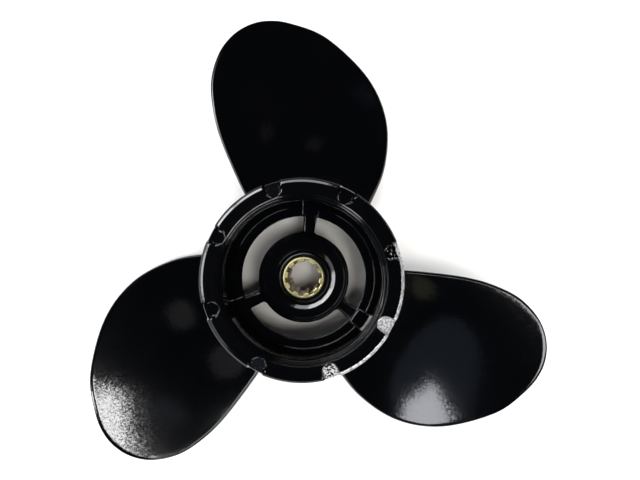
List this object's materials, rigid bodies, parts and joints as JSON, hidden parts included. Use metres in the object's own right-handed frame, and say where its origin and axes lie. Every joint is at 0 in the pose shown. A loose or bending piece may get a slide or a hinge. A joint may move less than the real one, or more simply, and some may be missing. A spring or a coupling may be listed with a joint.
{
  "type": "outboard motor propeller",
  "caption": "Black boat propeller with skewed, twisted blades, an open exhaust barrel with a notched aft flange, ribs, a rubber bush and a splined brass sleeve.",
  "frame": {"origin": "middle of the barrel's front rim, on the shaft's axis", "axes": "+Z along the shaft, pointing aft to the notched flange; +Y up in the picture, so the first blade's tip lies 8 degrees anticlockwise of +Y seen from aft"},
  "size_m": [0.2346, 0.2206, 0.1],
  "materials": {
    "black_gloss_paint": "black gloss paint over cast aluminium",
    "black_rubber": "moulded rubber",
    "brass": "machined brass"
  },
  "bodies": {
    "root": {"propeller_casting": "black_gloss_paint", "rubber_bush": "black_rubber", "splined_sleeve": "brass"}
  },
  "joints": []
}
